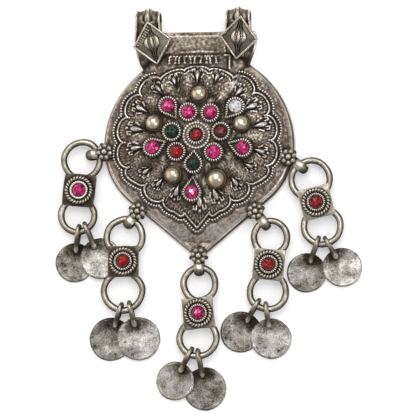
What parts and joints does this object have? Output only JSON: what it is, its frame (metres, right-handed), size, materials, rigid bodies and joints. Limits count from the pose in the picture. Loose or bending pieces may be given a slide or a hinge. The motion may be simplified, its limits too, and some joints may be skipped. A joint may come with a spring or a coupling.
{
  "type": "amulet pendant with stone-set drops",
  "caption": "Oxidised silver amulet pendant on strap bails, its domed scalloped plate set with cut stones, with hanging ring, square and disc drops.",
  "frame": {"origin": "centre of the round plate on its flat back face", "axes": "+Y from the plate up to the bails, +Z out of the decorated front, +X to the viewer's right"},
  "size_m": [0.1144, 0.1497, 0.0118],
  "materials": {
    "oxidised_silver": "oxidised silver, dark in the recesses and rubbed bright on the high places",
    "worn_silver": "worn bright silver with scratches and pits",
    "crimson_stone": "faceted red glass",
    "pink_stone": "faceted pink glass",
    "dark_red_stone": "faceted dark red glass",
    "green_stone": "faceted dark green glass",
    "clear_stone": "faceted clear glass"
  },
  "bodies": {
    "root": {"body": "oxidised_silver", "bail_left": "oxidised_silver", "bail_right": "oxidised_silver", "stone_centre": "crimson_stone", "stone_inner_1": "pink_stone", "stone_inner_2": "pink_stone", "stone_inner_3": "green_stone", "stone_inner_4": "dark_red_stone", "stone_inner_5": "crimson_stone", "stone_inner_6": "pink_stone", "stone_drop_1": "green_stone", "stone_drop_2": "pink_stone", "stone_drop_3": "clear_stone", "stone_drop_4": "pink_stone", "stone_drop_5": "pink_stone", "stone_drop_6": "pink_stone", "link_left": "oxidised_silver", "link_lower_left": "oxidised_silver", "link_bottom": "oxidised_silver", "link_lower_right": "oxidised_silver", "link_right": "oxidised_silver", "gem_left": "pink_stone", "gem_lower_left": "crimson_stone", "gem_bottom": "pink_stone", "gem_lower_right": "crimson_stone", "gem_right": "crimson_stone", "disc_left_1": "worn_silver", "disc_left_2": "worn_silver", "disc_lower_left_1": "worn_silver", "disc_lower_left_2": "worn_silver", "disc_bottom_1": "worn_silver", "disc_bottom_2": "worn_silver", "disc_lower_right_1": "worn_silver", "disc_lower_right_2": "worn_silver", "disc_right_1": "worn_silver", "disc_right_2": "worn_silver"}
  },
  "joints": []
}
